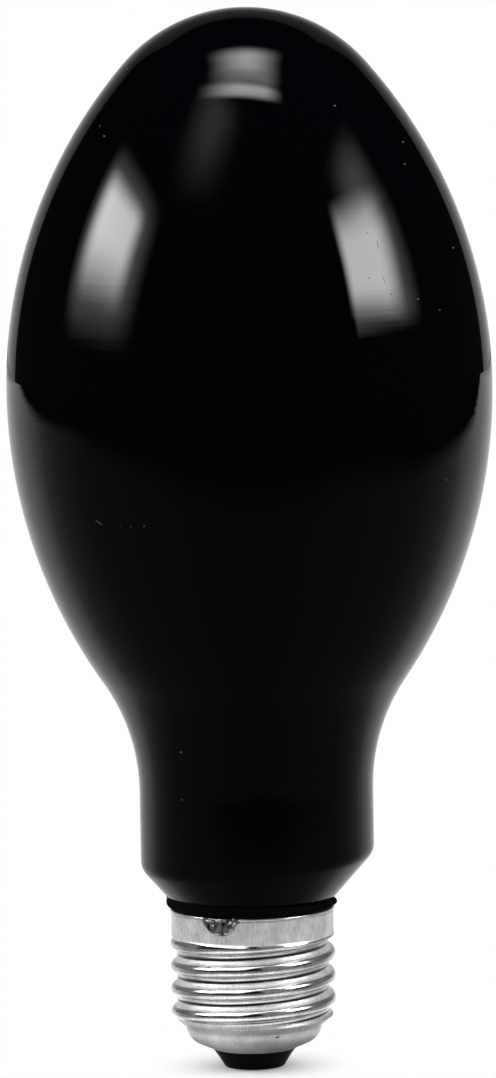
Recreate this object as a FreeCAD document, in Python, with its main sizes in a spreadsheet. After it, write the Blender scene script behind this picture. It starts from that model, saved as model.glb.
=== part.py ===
import FreeCAD, Part
import Sketcher
import math
import os

Vector = FreeCAD.Vector

# Driving dimensions, in millimetres and degrees. The contact face is at height 0,
# the screw cap's axis is Z, and the glass stands on the cap's rim.
dimensions = {
    # screw cap, rolled from sheet with a right-hand lamp thread
    "rim_height": 25.7,
    "thread_major_diameter": 26.2,
    "thread_depth": 1.05,
    "thread_pitch": 3.629,
    "thread_root_flat": 0.8,
    "thread_crest_flat": 0.2,
    "thread_shoulder_width": 1.05,
    "thread_shoulder_drop": 0.14,
    "thread_overcut": 0.02,
    "thread_top_depth": 2.94,
    "thread_run_out": 60.0,
    "thread_start_azimuth": -95.0,
    "thread_foot_slope": 38.5,
    "band_step": 0.22,
    "band_taper_depth": 5.1,
    "band_taper_height": 1.2,
    "band_lining_height": 1.2,
    "sheet_thickness": 0.3,
    "waist_step": 1.3,
    "bowl_reach": 4.05,
    "bowl_radius": 2.8,
    "bowl_slope": 24.0,
    "lip_height": 3.1,
    # black glass insulator and the centre contact
    "insulator_taper": 1.8,
    "insulator_edge": 0.4,
    "contact_stand_off": 0.1,
    "insulator_border": 0.9,
    "eyelet_thickness": 0.3,
    "eyelet_tube_diameter": 3.2,
    "eyelet_hole_diameter": 2.6,
    "eyelet_stick_out": 0.6,
    "contact_solder_depth": 2.5,
    # lead wires
    "lead_diameter": 0.4,
    "lead_clearance": 0.02,
    "lead_drop": 3.0,
    "lead_spread": 3.0,
    "lead_tail": 1.7,
    "lead_azimuth": -103.0,
    # solder on the rim
    "side_solder_width": 6.6,
    "side_solder_tip_width": 2.2,
    "side_solder_height": 2.8,
    "side_solder_bulge": 0.45,
    "side_solder_azimuth": -21.5,
    # cement between the glass and the cap
    "cement_gap": 0.95,
    "cement_depth": 7.7,
    "bead_height": 1.6,
    "bead_overhang": 0.45,
    "bead_bulge": 0.32,
    # glass bulb, slightly off the cap's axis
    "glass_offset": 1.0,
    "stub_depth": 9.7,
    "mouth_depth": 1.1,
    "shoulder_slope": 48.5,
    "shoulder_fillet": 3.0,
    "neck_diameter": 37.1,
    "neck_flare_radius": 31.0,
    "lower_side_radius": 81.4,
    "nose_radius": 25.3,
    "bulb_diameter": 76.7,
    "bulb_widest_height": 82.55,
    "bulb_height": 142.6,
}

doc = FreeCAD.newDocument("black_light_bulb")
sheet = doc.addObject("Spreadsheet::Sheet", "sizes")
for row, (alias, number) in enumerate(dimensions.items(), 1):
    sheet.set(f"A{row}", alias)
    sheet.set(f"B{row}", str(number))
    sheet.setAlias(f"B{row}", alias)
doc.recompute()

# Places that several pieces share, as formulas of the sheet's cells.
crest = "(sizes.thread_major_diameter / 2)"
root = f"({crest} - sizes.thread_depth)"
bore = f"({root} - sizes.sheet_thickness)"
band = f"({crest} - sizes.band_step)"
band_inside = f"({band} - sizes.sheet_thickness)"
waist = f"({root} - sizes.waist_step)"
lip = f"({waist} - sizes.bowl_reach)"
rim = "sizes.rim_height"

# The bowl is a cone that rises from the lip and an arc that turns it up to the waist.
bowl_centre = f"({waist} - sizes.bowl_radius)"
bowl_turn = f"({bowl_centre} + sizes.bowl_radius * sin(sizes.bowl_slope))"
bowl_turn_height = f"(sizes.lip_height + ({bowl_turn} - {lip}) * tan(sizes.bowl_slope))"
waist_height = f"({bowl_turn_height} + sizes.bowl_radius * cos(sizes.bowl_slope))"
inner_lip = f"({lip} - sizes.sheet_thickness * sin(sizes.bowl_slope))"
inner_lip_height = "(sizes.lip_height + sizes.sheet_thickness * cos(sizes.bowl_slope))"
inner_bowl_radius = "(sizes.bowl_radius - sizes.sheet_thickness)"
inner_turn = f"({bowl_centre} + {inner_bowl_radius} * sin(sizes.bowl_slope))"
inner_turn_height = f"({waist_height} - {inner_bowl_radius} * cos(sizes.bowl_slope))"
inner_waist = f"({waist} - sizes.sheet_thickness)"
foot_slope = "sizes.thread_foot_slope"
insulator_top = f"({waist_height} + sizes.sheet_thickness * (1 - sin({foot_slope})) / cos({foot_slope}))"

# The bore widens under the rim, where the band is as thin as the sheet.
lining_height = f"({rim} - sizes.band_lining_height)"
bore_top = f"({lining_height} - ({band_inside} - {bore}))"

# The glass stub stands in the cement, and the shoulder cone rises from it.
stub = f"({bore} - sizes.cement_gap)"
stub_bottom = f"({rim} - sizes.stub_depth)"
cone_foot = f"({rim} - sizes.mouth_depth)"
bead_top = f"({rim} + sizes.bead_height)"
bead_inside = f"({stub} + ({bead_top} - {cone_foot}) / tan(sizes.shoulder_slope))"

eyelet_tube = "(sizes.eyelet_tube_diameter / 2)"
eyelet_hole = "(sizes.eyelet_hole_diameter / 2)"
insulator_foot = f"({lip} - sizes.insulator_taper)"
eyelet_edge = f"({insulator_foot} - sizes.insulator_border)"
solder_bottom = f"({rim} - sizes.side_solder_height)"


def value(expression):
    return float(sheet.evalExpression(expression))


def arc_radius(chord_points, bulge):
    """Radius formula of an arc that stands out by bulge from the chord between two corners."""
    (x0, z0), (x1, z1) = chord_points
    return f"((({x1} - {x0})^2 + ({z1} - {z0})^2) / (8 * {bulge}) + {bulge} / 2)"


def new_body(label):
    body = doc.addObject("PartDesign::Body", label)
    body.Label = label
    return body


def section_sketch(body, name):
    """Empty sketch on the body's XZ plane: its x is the radius, its y the height."""
    plane = next(item for item in body.Origin.OriginFeatures if item.Role == "XZ_Plane")
    sketch = body.newObject("Sketcher::SketchObject", name)
    sketch.AttachmentSupport = [(plane, "")]
    sketch.MapMode = "FlatFace"
    return sketch


def dimension(sketch, expression, kind, *where):
    """Adds one dimension and binds it to a formula of the sheet."""
    index = sketch.addConstraint(Sketcher.Constraint(kind, *where, value(expression)))
    sketch.setExpression(f"Constraints[{index}]", expression)


def place_point(sketch, geometry, end, x, z):
    """Holds one end of a line or arc at radius x and height z."""
    for kind, axis, expression in (("DistanceX", -2, x), ("DistanceY", -1, z)):
        if value(expression) == 0:
            sketch.addConstraint(Sketcher.Constraint("PointOnObject", geometry, end, axis))
        else:
            dimension(sketch, expression, kind, -1, 1, geometry, end)


def arc_between(start, end, radius, left):
    """Minor arc from start to end, with its centre left or right of the way there."""
    half = (end - start) * 0.5
    side = Vector(-half.y, half.x, 0).normalize()
    reach = math.sqrt(max(radius ** 2 - half.Length ** 2, 0))
    centre = start + half + side * (reach if left else -reach)
    first, last = (start, end) if left else (end, start)
    angles = [math.atan2(point.y - centre.y, point.x - centre.x) for point in (first, last)]
    if angles[1] < angles[0]:
        angles[1] += 2 * math.pi
    return Part.ArcOfCircle(Part.Circle(centre, Vector(0, 0, 1), radius), *angles)


def section(body, name, corners, arcs=None):
    """Closed section through corners. arcs gives a radius and a side for some of its edges."""
    arcs = arcs or {}
    sketch = section_sketch(body, name)
    points = [Vector(value(x), value(z), 0) for x, z in corners]
    ends = []
    for index, start in enumerate(points):
        end = points[(index + 1) % len(points)]
        if index in arcs:
            radius, left = arcs[index]
            sketch.addGeometry(arc_between(start, end, value(radius), left))
            ends.append((1, 2) if left else (2, 1))
        else:
            sketch.addGeometry(Part.LineSegment(start, end))
            ends.append((1, 2))
    for index, (x, z) in enumerate(corners):
        before = (index - 1) % len(corners)
        joint = (before, ends[before][1], index, ends[index][0])
        sketch.addConstraint(Sketcher.Constraint("Coincident", *joint))
        place_point(sketch, index, ends[index][0], x, z)
    for index, (radius, _) in arcs.items():
        dimension(sketch, radius, "Radius", index)
    return sketch


def turned(body, kind, name, sketch):
    """Revolution or Groove of a section about its own upright axis."""
    feature = body.newObject(f"PartDesign::{kind}", name)
    feature.Profile = sketch
    feature.ReferenceAxis = (sketch, ["V_Axis"])
    doc.recompute()
    return feature


def turn_about_axis(item, azimuth):
    """Turns a finished piece about the cap's axis to a cell's azimuth."""
    item.Placement = FreeCAD.Placement(Vector(), FreeCAD.Rotation(Vector(0, 0, 1), value(azimuth)))
    item.setExpression("Placement.Rotation.Angle", azimuth)


def bulb_outline(body):
    """Right half of the blown bulb: nose, two side arcs, a hollow flare and the straight neck."""
    sketch = section_sketch(body, "bulb_outline")
    widest = value("sizes.bulb_diameter / 2")
    widest_z = value(f"{rim} + sizes.bulb_widest_height")
    top = value(f"{rim} + sizes.bulb_height")
    base = value(stub_bottom)
    neck = value("sizes.neck_diameter / 2")
    nose = value("sizes.nose_radius")
    lower = value("sizes.lower_side_radius")
    flare = value("sizes.neck_flare_radius")

    rise = top - widest_z
    upper = (widest ** 2 + rise ** 2 - 2 * rise * nose) / (2 * (widest - nose))
    upper_centre = Vector(widest - upper, widest_z, 0)
    nose_centre = Vector(0, top - nose, 0)
    nose_angle = math.atan2(nose_centre.y - upper_centre.y, nose_centre.x - upper_centre.x)
    lower_centre = Vector(widest - lower, widest_z, 0)
    flare_x = neck + flare
    flare_drop = math.sqrt((lower + flare) ** 2 - (flare_x - lower_centre.x) ** 2)
    flare_centre = Vector(flare_x, widest_z - flare_drop, 0)
    flare_angle = math.atan2(flare_drop, flare_x - lower_centre.x)

    def arc(centre, radius, first, last):
        circle = Part.Circle(centre, Vector(0, 0, 1), radius)
        return sketch.addGeometry(Part.ArcOfCircle(circle, first, last))

    def line(x0, z0, x1, z1):
        return sketch.addGeometry(Part.LineSegment(Vector(x0, z0, 0), Vector(x1, z1, 0)))

    def fix(kind, *where):
        sketch.addConstraint(Sketcher.Constraint(kind, *where))

    axis_line = line(0, base, 0, top)
    nose_arc = arc(nose_centre, nose, nose_angle, math.pi / 2)
    upper_arc = arc(upper_centre, upper, 0, nose_angle)
    lower_arc = arc(lower_centre, lower, -flare_angle, 0)
    flare_arc = arc(flare_centre, flare, math.pi - flare_angle, math.pi)
    neck_line = line(neck, flare_centre.y, neck, base)
    base_line = line(neck, base, 0, base)

    fix("Coincident", axis_line, 2, nose_arc, 2)
    fix("PointOnObject", axis_line, 2, -2)
    fix("PointOnObject", nose_arc, 3, -2)
    fix("Tangent", nose_arc, 1, upper_arc, 2)
    fix("Tangent", upper_arc, 1, lower_arc, 2)
    fix("Horizontal", upper_arc, 3, upper_arc, 1)
    fix("Tangent", lower_arc, 1, flare_arc, 1)
    fix("Tangent", flare_arc, 2, neck_line, 1)
    fix("Vertical", neck_line)
    fix("Coincident", neck_line, 2, base_line, 1)
    fix("Horizontal", base_line)
    fix("Coincident", base_line, 2, axis_line, 1)
    fix("PointOnObject", axis_line, 1, -2)
    dimension(sketch, "sizes.nose_radius", "Radius", nose_arc)
    dimension(sketch, "sizes.lower_side_radius", "Radius", lower_arc)
    dimension(sketch, "sizes.neck_flare_radius", "Radius", flare_arc)
    dimension(sketch, "sizes.bulb_diameter / 2", "DistanceX", -1, 1, upper_arc, 1)
    dimension(sketch, f"{rim} + sizes.bulb_widest_height", "DistanceY", -1, 1, upper_arc, 1)
    dimension(sketch, f"{rim} + sizes.bulb_height", "DistanceY", -1, 1, axis_line, 2)
    dimension(sketch, "sizes.neck_diameter / 2", "DistanceX", -1, 1, neck_line, 2)
    dimension(sketch, stub_bottom, "DistanceY", -1, 1, base_line, 1)
    return sketch


def glass_bulb():
    """Blown bulb, cut to a cone and a stub that are true to the cap, with a rounded shoulder."""
    body = new_body("glass_bulb")
    turned(body, "Revolution", "blown_bulb", bulb_outline(body))

    reach = "(sizes.neck_diameter / 2 + 2 * sizes.glass_offset + sizes.shoulder_fillet)"
    cone_top = f"({cone_foot} + ({reach} - {stub}) * tan(sizes.shoulder_slope))"
    below = f"({stub_bottom} - sizes.mouth_depth)"
    cut = section(body, "shoulder_cut",
                  [(stub, cone_foot), (reach, cone_top), (reach, below), (stub, below)])
    cut.setExpression("AttachmentOffset.Base.x", "-sizes.glass_offset")
    shoulder = turned(body, "Groove", "shoulder_and_stub", cut)

    # The corner to round is the edge above the bead that the cone shares with the neck.
    cones, cylinders = [[edge for face in shoulder.Shape.Faces if isinstance(face.Surface, kind)
                         for edge in face.Edges] for kind in (Part.Cone, Part.Cylinder)]
    corners = []
    for index, edge in enumerate(shoulder.Shape.Edges, 1):
        shared = all(any(edge.isSame(other) for other in group) for group in (cones, cylinders))
        if shared and edge.BoundBox.ZMin > value(bead_top):
            corners.append(f"Edge{index}")
    rounding = body.newObject("PartDesign::Fillet", "shoulder_rounding")
    rounding.Base = (shoulder, corners)
    rounding.setExpression("Radius", "sizes.shoulder_fillet")
    body.setExpression("Placement.Base.x", "sizes.glass_offset")
    return body


def screw_shell():
    """Sheet cap: bowl, waist and band turned as one wall, with the rolled thread cut round it."""
    body = new_body("screw_shell")
    foot_top = f"({waist_height} + ({crest} - {waist}) * tan({foot_slope}))"
    taper_foot = f"({rim} - sizes.band_taper_depth)"
    taper_top = f"({taper_foot} + sizes.band_taper_height)"
    bore_foot = f"({insulator_top} + ({bore} - {inner_waist}) * tan({foot_slope}))"
    wall = section(body, "shell_wall", [
        (lip, "sizes.lip_height"),
        (bowl_turn, bowl_turn_height),
        (waist, waist_height),
        (crest, foot_top),
        (crest, taper_foot),
        (band, taper_top),
        (band, rim),
        (band_inside, rim),
        (band_inside, lining_height),
        (bore, bore_top),
        (bore, bore_foot),
        (inner_waist, insulator_top),
        (inner_turn, inner_turn_height),
        (inner_lip, inner_lip_height),
    ], {1: ("sizes.bowl_radius", True)})
    turned(body, "Revolution", "drawn_shell", wall)

    # The knuckle thread is rolled in with flats in place of its small arcs.
    pitch = "sizes.thread_pitch"
    middle = f"({rim} - sizes.thread_top_depth)"
    outside = f"({crest} + sizes.thread_depth)"
    side = [
        (root, "sizes.thread_root_flat / 2"),
        (f"({crest} - sizes.thread_shoulder_drop)", f"({pitch} - sizes.thread_shoulder_width) / 2"),
        (f"({crest} + sizes.thread_overcut)", f"({pitch} - sizes.thread_crest_flat) / 2"),
        (outside, f"({pitch} - sizes.thread_crest_flat) / 2"),
    ]
    above = [(x, f"({middle} + {away})") for x, away in side]
    under = [(x, f"({middle} - {away})") for x, away in reversed(side)]
    groove = section(body, "thread_groove", above + under)
    thread = body.newObject("PartDesign::SubtractiveHelix", "rolled_thread")
    thread.Profile = groove
    thread.ReferenceAxis = (groove, ["V_Axis"])
    thread.Mode = "pitch-height-angle"
    thread.Reversed = True
    thread.setExpression("Pitch", pitch)
    thread.setExpression("Height", f"{middle} - sizes.lip_height - {pitch} / 2")
    doc.recompute()

    # At the top the groove climbs out of the band over part of a turn.
    run_out = body.newObject("PartDesign::SubtractiveHelix", "thread_run_out")
    run_out.Profile = groove
    run_out.ReferenceAxis = (groove, ["V_Axis"])
    run_out.Mode = "height-turns-growth"
    run_out.setExpression("Turns", "sizes.thread_run_out / 360")
    run_out.setExpression("Height", f"{pitch} * sizes.thread_run_out / 360")
    run_out.setExpression("Growth", "sizes.thread_depth * 360 / sizes.thread_run_out")
    turn_about_axis(body, "sizes.thread_start_azimuth")
    return body


def cap_insulator():
    """Black glass button that closes the bowl and carries the contact."""
    body = new_body("cap_insulator")
    foot_z = "sizes.contact_stand_off"
    button = section(body, "insulator_section", [
        (eyelet_tube, "sizes.eyelet_thickness"),
        (eyelet_edge, "sizes.eyelet_thickness"),
        (eyelet_edge, foot_z),
        (f"({insulator_foot} - sizes.insulator_edge)", foot_z),
        (insulator_foot, f"({foot_z} + sizes.insulator_edge)"),
        (lip, "sizes.lip_height"),
        (inner_lip, inner_lip_height),
        (inner_turn, inner_turn_height),
        (inner_waist, insulator_top),
        (eyelet_tube, insulator_top),
    ], {3: ("sizes.insulator_edge", True)})
    turned(body, "Revolution", "pressed_button", button)
    return body


def contact_eyelet():
    """Brass eyelet: a flat contact ring with a tube up through the insulator."""
    body = new_body("contact_eyelet")
    tube_top = f"({insulator_top} + sizes.eyelet_stick_out)"
    ring = section(body, "eyelet_section", [
        (eyelet_hole, "0"),
        (eyelet_edge, "0"),
        (eyelet_edge, "sizes.eyelet_thickness"),
        (eyelet_tube, "sizes.eyelet_thickness"),
        (eyelet_tube, tube_top),
        (eyelet_hole, tube_top),
    ])
    turned(body, "Revolution", "drawn_eyelet", ring)
    return body


def contact_solder():
    """Solder that closes the eyelet's hole, flush with the contact ring."""
    plug = doc.addObject("Part::Cylinder", "contact_solder")
    plug.Label = "contact_solder"
    plug.setExpression("Radius", eyelet_hole)
    plug.setExpression("Height", "sizes.contact_solder_depth")
    return plug


def centre_lead_wire():
    """Straight lead from the glass stub down into the contact's solder."""
    wire = doc.addObject("Part::Cylinder", "centre_lead_wire")
    wire.Label = "centre_lead_wire"
    wire.setExpression("Radius", "sizes.lead_diameter / 2")
    wire.setExpression("Height", f"{stub_bottom} - sizes.contact_solder_depth")
    wire.setExpression("Placement.Base.z", "sizes.contact_solder_depth")
    return wire


def side_lead_wire():
    """Bare lead that leaves the glass stub, climbs through the cement and hooks over the rim."""
    radius = value("sizes.lead_diameter / 2")
    clearance = value("sizes.lead_clearance")
    stem = value("sizes.lead_spread")
    leg = value(f"{bore} - sizes.cement_gap / 2")
    inside = value(band_inside) - radius - clearance
    outside = value(band) + radius + clearance
    stub_end = value(stub_bottom)
    floor = stub_end - value("sizes.lead_drop")
    over = value(rim) + radius + clearance
    lining_slope = math.radians(45)
    step_top = value(lining_height) + (radius + clearance) * math.tan(lining_slope / 2)
    places = [
        (stem, stub_end),
        (stem, floor),
        (leg, floor),
        (leg, step_top - (inside - leg)),
        (inside, step_top),
        (inside, over),
        (outside, over),
        (outside, value(rim) - value("sizes.lead_tail")),
    ]
    path = Part.makePolygon([Vector(x, 0, z) for x, z in places])
    start = Part.Circle(Vector(stem, 0, stub_end), Vector(0, 0, 1), radius)
    mitred = 1
    wire = doc.addObject("Part::Feature", "side_lead_wire")
    wire.Label = "side_lead_wire"
    wire.Shape = path.makePipeShell([Part.Wire(start.toShape())], True, False, mitred)
    turn_about_axis(wire, "sizes.lead_azimuth")
    return wire


def cap_cement(lead):
    """Black cement that holds the stub in the cap and swells into a bead over the rim."""
    body = new_body("cement_ring")
    bead_foot = f"({band} + sizes.bead_overhang)"
    bead = arc_radius([(bead_foot, rim), (bead_inside, bead_top)], "sizes.bead_bulge")
    cement_bottom = f"({rim} - sizes.cement_depth)"
    ring = section(body, "cement_section", [
        (stub, cement_bottom),
        (bore, cement_bottom),
        (bore, bore_top),
        (band_inside, lining_height),
        (band_inside, rim),
        (bead_foot, rim),
        (bead_inside, bead_top),
        (stub, cone_foot),
    ], {5: (bead, True)})
    turned(body, "Revolution", "cement_and_bead", ring)
    cement = doc.addObject("Part::Cut", "cap_cement")
    cement.Label = "cap_cement"
    cement.Base = body
    cement.Tool = lead
    return cement


def side_solder(lead):
    """Patch of solder on the band below the rim, pointed downwards, round the end of the lead."""
    swell = new_body("solder_swell")
    bulge = arc_radius([(band, rim), (band, solder_bottom)], "sizes.side_solder_bulge")
    ring = section(swell, "swell_section", [(band, solder_bottom), (band, rim)], {0: (bulge, True)})
    turned(swell, "Revolution", "swell_ring", ring)

    outline = new_body("solder_outline")
    sketch = section_sketch(outline, "patch")
    half = value("sizes.side_solder_width / 2")
    tip = value("sizes.side_solder_tip_width / 2")
    top = value(rim)
    bottom = value(solder_bottom)
    points = [Vector(-tip, bottom, 0), Vector(tip, bottom, 0), Vector(half, top, 0), Vector(-half, top, 0)]
    for start, end in zip(points, points[1:] + points[:1]):
        sketch.addGeometry(Part.LineSegment(start, end))
    for index in range(len(points)):
        sketch.addConstraint(Sketcher.Constraint("Coincident", (index - 1) % len(points), 2, index, 1))
    sketch.addConstraint(Sketcher.Constraint("Symmetric", 0, 1, 0, 2, -2))
    sketch.addConstraint(Sketcher.Constraint("Symmetric", 2, 1, 2, 2, -2))
    dimension(sketch, "sizes.side_solder_tip_width", "DistanceX", 0, 1, 0, 2)
    dimension(sketch, "sizes.side_solder_width", "DistanceX", 2, 2, 2, 1)
    dimension(sketch, solder_bottom, "DistanceY", -1, 1, 0, 1)
    dimension(sketch, rim, "DistanceY", -1, 1, 2, 1)
    pad = outline.newObject("PartDesign::Pad", "patch_depth")
    pad.Profile = sketch
    pad.setExpression("Length", f"{crest} + sizes.side_solder_width")
    turn_about_axis(outline, "sizes.side_solder_azimuth")
    doc.recompute()

    patch = doc.addObject("Part::Common", "solder_patch")
    patch.Base = swell
    patch.Tool = outline
    solder = doc.addObject("Part::Cut", "side_solder")
    solder.Label = "side_solder"
    solder.Base = patch
    solder.Tool = lead
    return solder


lead = side_lead_wire()
pieces = [
    glass_bulb(),
    cap_cement(lead),
    screw_shell(),
    lead,
    side_solder(lead),
    cap_insulator(),
    contact_eyelet(),
    contact_solder(),
    centre_lead_wire(),
]
doc.recompute()

for item in doc.Objects:
    if "Invalid" in item.State or "Error" in item.State:
        raise RuntimeError(f"{item.Label} failed: {item.State}")
for piece in pieces:
    if piece.Shape.isNull() or not piece.Shape.isValid():
        raise RuntimeError(f"{piece.Label} has no sound shape")
    if len(piece.Shape.Solids) != 1:
        raise RuntimeError(f"{piece.Label} is {len(piece.Shape.Solids)} solids, not one")

os.makedirs("parts", exist_ok=True)
for piece in pieces:
    piece.Shape.exportStep(f"parts/{piece.Label}.step")
    print(f"{piece.Label}: {piece.Shape.Volume:.1f} cubic mm")
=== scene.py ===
import math
from functools import partial

import bmesh
import bpy
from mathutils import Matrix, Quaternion, Vector, noise


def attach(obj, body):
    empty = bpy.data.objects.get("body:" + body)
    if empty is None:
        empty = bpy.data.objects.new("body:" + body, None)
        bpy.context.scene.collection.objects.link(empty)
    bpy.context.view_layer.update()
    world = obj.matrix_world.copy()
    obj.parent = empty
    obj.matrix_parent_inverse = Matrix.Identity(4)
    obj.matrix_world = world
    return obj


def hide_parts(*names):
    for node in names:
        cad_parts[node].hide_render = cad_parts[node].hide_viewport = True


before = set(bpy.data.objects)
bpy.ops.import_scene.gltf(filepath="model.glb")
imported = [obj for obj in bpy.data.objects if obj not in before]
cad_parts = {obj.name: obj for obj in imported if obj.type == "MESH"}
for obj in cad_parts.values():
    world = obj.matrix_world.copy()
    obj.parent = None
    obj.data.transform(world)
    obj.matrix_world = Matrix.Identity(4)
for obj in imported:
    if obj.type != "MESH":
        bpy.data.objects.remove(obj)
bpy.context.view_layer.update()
mm = 0.001
scene = bpy.context.scene
scene.view_settings.view_transform = "Standard"
print("frame loaded:", ", ".join(sorted(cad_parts)))


def linearColour(code):
    parts = [int(code[start:start + 2], 16) / 255 for start in (1, 3, 5)]
    return [part / 12.92 if part <= 0.04045 else ((part + 0.055) / 1.055) ** 2.4 for part in parts] + [1.0]


# A setting that is a socket is linked, and so is the first output of one that is a node. A hex code is a
# colour, and a pair called From or To gives both ends of a range.
def setNode(node, settings):
    for key, setting in settings.items():
        if isinstance(setting, bpy.types.Node):
            setting = setting.outputs[0]
        if isinstance(setting, str) and setting.startswith("#"):
            setting = linearColour(setting)
        if key in ("From", "To"):
            setNode(node, {key + " Min": setting[0], key + " Max": setting[1]})
        elif isinstance(setting, bpy.types.NodeSocket):
            node.id_data.links.new(setting, node.inputs[key])
        elif isinstance(key, str) and hasattr(node, key):
            setattr(node, key, setting)
        else:
            node.inputs[key].default_value = setting


# kind leaves out ShaderNode.
def addNode(tree, kind, settings=None):
    node = tree.nodes.new(kind if "Node" in kind else "ShaderNode" + kind)
    setNode(node, settings or {})
    return node


# Clears the nodes of a material, world or lamp, and gives addNode for its tree.
def emptyTree(block):
    block.use_nodes = True
    block.node_tree.nodes.clear()
    return partial(addNode, block.node_tree)


def startMaterial(name):
    material = bpy.data.materials.new(name)
    add = emptyTree(material)
    shader = add("BsdfPrincipled")
    add("OutputMaterial", {"Surface": shader})
    return material, add, shader, add("TexCoord").outputs["Object"]


def perMm(size):
    return 1 / (size * mm)  # texture scale that gives features of this many mm


# Distance from the middle of an oval mark, in its own half sizes.
def markReach(add, place, middle, halves, slope=0):
    inMark = add("Mapping", {"vector_type": "TEXTURE", "Vector": place, "Location": Vector(middle) * mm,
                             "Rotation": (0, math.radians(slope), 0),
                             "Scale": [half * mm for half in halves]})
    return add("VectorMath", {"operation": "LENGTH", 0: inMark}).outputs["Value"]


# Arc of a section, from first to last degrees, as (radius, height) pairs in mm.
def arcRun(centre, radius, first, last, steps):
    angles = [math.radians(first + (last - first) * step / steps) for step in range(steps + 1)]
    return [(centre[0] + radius * math.cos(angle), centre[1] + radius * math.sin(angle)) for angle in angles]


def lineRun(start, end, steps):
    return [(start[0] + (end[0] - start[0]) * step / steps, start[1] + (end[1] - start[1]) * step / steps)
            for step in range(steps + 1)]


def finishMesh(name, sheet, material, sharpAngle):
    weldDistance = 1e-7
    bmesh.ops.remove_doubles(sheet, verts=sheet.verts, dist=weldDistance)
    bmesh.ops.recalc_face_normals(sheet, faces=sheet.faces)
    mesh = bpy.data.meshes.new(name)
    sheet.to_mesh(mesh)
    sheet.free()
    mesh.shade_smooth()
    mesh.set_sharp_from_angle(angle=math.radians(sharpAngle))
    mesh.materials.append(material)
    piece = bpy.data.objects.new(name, mesh)
    scene.collection.objects.link(piece)
    return piece


# Turns a section round an upright axis at x = shift. The section may change with the angle.
def turnedPiece(name, sectionAt, steps, material, shift=0.0, closed=True, sharpAngle=35):
    sheet = bmesh.new()
    columns = []
    for step in range(steps):
        angle = 2 * math.pi * step / steps
        columns.append([sheet.verts.new(((shift + radius * math.cos(angle)) * mm,
                                         radius * math.sin(angle) * mm, height * mm))
                        for radius, height in sectionAt(angle)])
    count = len(columns[0])
    for left, right in zip(columns, columns[1:] + columns[:1]):
        for row in range(count if closed else count - 1):
            above = (row + 1) % count
            sheet.faces.new([left[row], right[row], right[above], left[above]])
    return finishMesh(name, sheet, material, sharpAngle)


def settle(piece, slotName, *nodes):
    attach(piece, "root")
    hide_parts(*nodes)
    print("piece made:", piece.name, len(piece.data.polygons), "faces")


# Near-black filter glass, blown in a turning mould and fire polished: clear mirror gloss with
# faint level ripples, a few dust specks and short hairline scratches.
glassLook = {
    "colour": "#030306",
    "dustColour": "#4c4d51",
    "roughness": 0.012,
    "dustRoughness": 0.6,
    "ior": 1.5,
    "ripple": (60.0, 60.0, 1.1),
    "rippleDepth": 0.0075,
    "rippleTop": (119.0, 134.0),
    "rippleAbove": 0.3,
    "dustSpacing": 8.0,
    "dustEdge": (0.014, 0.024),
    "scratchSpacing": 14.0,
    "scratchSlant": (0.5, 0.9, 0.3),
    "scratchStretch": (1.0, 1.0, 0.045),
    "scratchEdge": (0.002, 0.0055),
    "markDepth": 8.0,
    "markEdge": (0.5, 0.95),
}

# Wear on the front of the glass: middle, half length, half width and slant of each mark.
glassMarks = [
    ((-20.8, -15.7, 149.0), 0.22, 0.18, 0),
    ((14.9, -19.7, 153.2), 0.24, 0.18, 20),
    ((25.5, -13.5, 147.2), 0.2, 0.18, 0),
    ((25.6, -16.6, 143.9), 0.25, 0.15, 40),
    ((33.0, -14.4, 130.7), 0.2, 0.2, 0),
    ((27.1, -26.0, 123.6), 0.22, 0.17, 0),
    ((30.5, -22.6, 121.6), 0.18, 0.15, 0),
    ((-15.5, -32.3, 89.9), 0.2, 0.16, 0),
    ((-22.5, -27.6, 90.1), 0.85, 0.12, 32),
    ((-19.2, -30.0, 89.8), 0.12, 0.1, 0),
    ((-17.6, -31.0, 89.7), 0.14, 0.1, 0),
    ((-10.7, -15.8, 52.7), 0.24, 0.22, 0),
    ((-10.7, -14.4, 45.0), 0.18, 0.15, 0),
    ((21.0, -28.2, 132.1), 0.8, 0.07, 80),
    ((21.8, -29.4, 126.9), 1.1, 0.06, 66),
    ((19.4, -28.6, 134.0), 0.16, 0.14, 0),
    ((19.5, -30.9, 127.2), 0.16, 0.14, 0),
    ((22.9, -29.4, 124.6), 0.16, 0.14, 0),
    ((-3.2, -21.1, 156.7), 0.24, 0.2, 0),
]


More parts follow.
